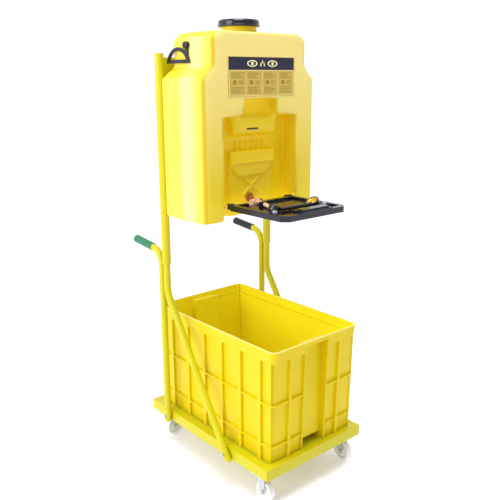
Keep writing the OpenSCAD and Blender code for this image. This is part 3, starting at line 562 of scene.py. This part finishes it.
# The mould's outer corners are rounder than the recess, and the hump over the heads is a soft
# pillow. The neck keeps its edges.
soften(shell, in_recess, 7)
soften(shell, lambda v: in_recess(v) and v.z > 1.222, 30)
soften(shell, on_hump, 60)
soften(shell, lambda v: not in_recess(v) and v.z < tank_high.z - 0.030, 26)
soften(shell, lambda v: v.z >= tank_high.z - 0.036, 3)
MOST_FACES = 180000
finish_with(shell, "DECIMATE", ratio=min(1, MOST_FACES / (2 * len(shell.data.polygons))))
smooth(shell, 180)
stand_for(shell, "tank_shell")


# ---------- Cap, rings and studs ----------

cap_low, cap_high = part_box("cap")
CAP = [(62.4, 0), (71.5, 0), (73.4, 0.6), (74, 2), (74, 5.4), (73.2, 6.6), (72, 7.2), (72, 16.8),
    (71.6, 18.6), (68.6, 23), (66.8, 23.9), (65, 24), (62.8, 23.8), (61.6, 22.9), (60, 22.2),
    (30, 22), (8, 22), (0.02, 22)]
cap = turned("cap_shell", CAP, 96)
under = turned("under", [(62.4, 0), (62.4, 19), (0.02, 19)], 64)
cap = joined("cap_turned", [cap, under])
stand_for(set_at(cap, (neck.x, neck.y, cap_low.z)), "cap")

for side in ("left", "right"):
    ring = eased("ring_" + side + "_moulded", 2.4, "ring_" + side, steps=4, sharper_than=50)
    stand_for(ring, "ring_" + side)
STUD = [(5, -30), (5, -8.6), (9.5, -8.2), (11.4, -6.8), (12, -4.6), (11.4, -2.4), (9.4, -0.8),
    (6, -0.1), (0.02, 0)]
studs = []
stud_end, stud_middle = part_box("ring_studs")[1].x, middle("ring_studs")
for out in (-1, 1):
    stud = turned("stud", STUD, 40)
    studs.append(set_at(stud, (out * stud_end, stud_middle.y, stud_middle.z), (out, 0, 0)))
stand_for(joined("ring_studs_turned", studs), "ring_studs")
for side in ("left", "right"):
    at = middle("ring_clip_" + side)
    path = [at + Vector(p) * MM for p in ((0, 5, 1), (0, 7, 9), (0, 1, 14), (0, -8, 12), (0, -11, 4), (0, -7, -2))]
    stand_for(rod("ring_clip_" + side + "_wire", path, 2.2), "ring_clip_" + side)


# ---------- Label ----------

label_low, label_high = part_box("label_plate")
stand_for(eased("label_film", 0.5, "label_plate"), "label_plate")
label_face = label_low.y
label_height = (label_low.z + label_high.z) / 2


def patch(x, z, wide, tall, lift=0.3):
    """One printed patch on the label, placed from its middle, in mm."""
    centre = Vector((0, label_face, label_height))
    low = centre + Vector((x - wide / 2, -lift, z - tall / 2)) * MM
    high = centre + Vector((x + wide / 2, 0.1, z + tall / 2)) * MM
    return block("patch", low, high)


def dot(x, z, wide, tall, lift=0.5, sides=28):
    """One printed round spot on the label, placed from its middle, in mm."""
    bpy.ops.object.select_all(action="DESELECT")
    bpy.ops.mesh.primitive_cylinder_add(vertices=sides, radius=0.5, depth=1)
    one = bpy.context.object
    one.scale = (wide * MM, tall * MM, lift * MM)
    one.rotation_euler = (math.pi / 2, 0, 0)
    one.location = Vector((0, label_face, label_height)) + Vector((x, -lift / 2, z)) * MM
    freeze(one)
    return one


BAND_Z = 43.5
hang(joined("label_band", [patch(0, BAND_Z, 296, 41)]), "tank", "label_print", ink_navy)
# Two eyes with three drops of water between them
pale = []
dark = []
for x in (-46, 46):
    pale.append(dot(x, BAND_Z, 46, 22, 0.5))
    dark.append(dot(x, BAND_Z, 34, 15, 0.7))
    pale.append(dot(x, BAND_Z, 12, 12, 0.9))
for x, z in ((-8, 38), (0, 47), (8, 38)):
    pale.append(dot(x, z, 7, 7, 0.5))
    pale.append(dot(x, z + 5, 6.4, 10, 0.5, 3))
# The lines round the four columns and between them
for z in (20.5, -61.5):
    pale.append(patch(0, z, 292, 1.6))
for x in (-146, 146):
    pale.append(patch(x, -20.5, 1.6, 82))
for x in (-73, 0, 73):
    pale.append(patch(x, -20.5, 0.9, 76))
hang(joined("label_pale_print", pale), "tank", "label_print", ink_pale)
hang(joined("label_pupils", dark), "tank", "label_print", ink_navy)
# Plain bars stand in for the rows of print
COLUMN = 58
BAR = 1.7
rows = []
for column, x in enumerate((-109.5, -36.5, 36.5, 109.5)):
    for row in range(4):
        wide = 54 - 9 * ((column + 2 * row) % 3)
        rows.append(patch(x - (COLUMN - wide) / 2, 13 - row * 5.2, wide, BAR))
    rows.append(dot(x - 14, -18, 15, 15, 0.3))
    rows.append(patch(x + 13, -14, 20, 2.2))
    rows.append(patch(x + 13, -21, 24, 2.2))
    for row in range(4):
        wide = 56 - 8 * ((column + row) % 3)
        rows.append(patch(x - (COLUMN - wide) / 2, -34 - row * 5.6, wide, BAR))
hang(joined("label_rows", rows), "tank", "label_print", ink_olive)


# A blank dark plate on the hump
badge = block("hump_plate", (-0.042, tank_front + 32.6 * MM, 1.255),
    (0.010, tank_front + 36 * MM, 1.2605), 0.8, 3)
hang(badge, "tank", "black_plastic")


# ---------- Spray tray ----------

tray = eased("tray_moulded", 2.6, "tray", steps=3, sharper_than=30)
stand_for(tray, "tray")
plug_low, plug_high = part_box("side_plugs")
# The heads lean inwards, each on a base that stands on the tray
lean = math.radians(28)
HEAD = [(0.02, 0), (20, 0), (22.6, 1.6), (23, 4), (23, 12), (23.6, 14.5), (24.4, 16.5), (24.4, 19.6),
    (23.6, 21.2), (22, 21.8), (20.9, 21.2), (20.3, 19.5), (20.2, 13), (0.02, 13)]
BASE = [(0.02, 0), (24.4, 0), (25, 0.8), (25, 6.4), (24.2, 7.6), (22.5, 8), (0.02, 8)]
CUP = [(0.02, 12.8), (19.9, 12.8), (19.9, 19.4), (19.2, 20.4), (18.2, 20), (17.2, 17.4),
    (15.4, 16.2), (8.4, 15.6), (7.4, 16.4), (6.8, 18.6), (5.6, 19.4), (2.6, 19.6), (2.2, 18.8),
    (0.02, 18.6)]
JET = [(0.02, 15), (1.5, 15), (1.4, 17), (0.9, 17.4), (0.8, 16.8), (0.02, 16.8)]
JETS, JET_CIRCLE = 10, 12
PLUG = [(0.02, 0), (8, 0), (9, 1), (9, 6), (8.6, 8.4), (7.2, 11), (4.8, 13), (2.4, 13.8), (0.02, 14)]
for side, out in (("left", -1), ("right", 1)):
    head_low, head_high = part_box("head_shell_" + side)
    foot = Vector((out * 95 * MM, head_low.y + 25 * MM, plug_low.z))
    along = Vector((-out * math.sin(lean), 0, math.cos(lean)))
    head = set_at(turned("head", HEAD, 56), foot, along)
    base = set_at(turned("base", BASE, 56), foot)
    stand_for(joined("head_shell_" + side + "_turned", [head, base]), "head_shell_" + side)
    cup = set_at(turned("cup", CUP, 56), foot, along)
    jets = []
    for i in range(JETS):
        turn = i * math.tau / JETS
        shift = Vector((math.cos(turn), math.sin(turn), 0)) * JET_CIRCLE * MM
        at = foot + along.to_track_quat("Z", "Y") @ shift
        jets.append(set_at(turned("jet", JET, 10), at, along))
    stand_for(joined("spray_insert_" + side + "_turned", [cup, *jets]), "spray_insert_" + side)
plugs = []
for x in (plug_low.x + 9 * MM, plug_high.x - 9 * MM):
    plug = turned("plug", PLUG, 32)
    plugs.append(set_at(plug, (x, (plug_low.y + plug_high.y) / 2, plug_low.z)))
stand_for(joined("side_plugs_turned", plugs), "side_plugs")


# ---------- Floor and light ----------

bpy.ops.object.select_all(action="DESELECT")
bpy.ops.mesh.primitive_plane_add(size=30)
floor = bpy.context.object
floor.name = "floor"
floor.data.materials.append(surface("studio_floor", "F5F1FA", "F8F4FB", 400, (0.7, 0.8), 30, 0.1,
    Emission_Color=(1, 1, 1, 1), Emission_Strength=0.2))

world = bpy.data.worlds.new("studio")
bpy.context.scene.world = world
world.use_nodes = True
world.node_tree.nodes["Background"].inputs["Color"].default_value = (1, 1, 1, 1)
# The studio's back wall is white, and its front falls away to grey, so that faces turned
# forward are darker
facing_back = split(world, "Generated")[1]
wall = add(world, "MapRange", {0: facing_back, 1: -0.8, 2: 0.2, 3: 0.55, 4: 1.12}).outputs[0]
world.node_tree.links.new(wall, world.node_tree.nodes["Background"].inputs["Strength"])
bpy.context.scene.view_settings.view_transform = "Standard"

for name, at, aim, size, power in (
    ("left_window", (-3.0, 0.3, 2.0), (0, 0, 1.0), 1.8, 40),
    ("overhead", (-0.4, -0.6, 4.2), (0, 0, 0.6), 1.6, 75),
):
    lamp = bpy.data.lights.new(name, "AREA")
    lamp.energy = power
    lamp.size = size
    holder = bpy.data.objects.new(name, lamp)
    holder.location = at
    holder.rotation_euler = (Vector(aim) - Vector(at)).to_track_quat("-Z", "Y").to_euler()
    bpy.context.scene.collection.objects.link(holder)
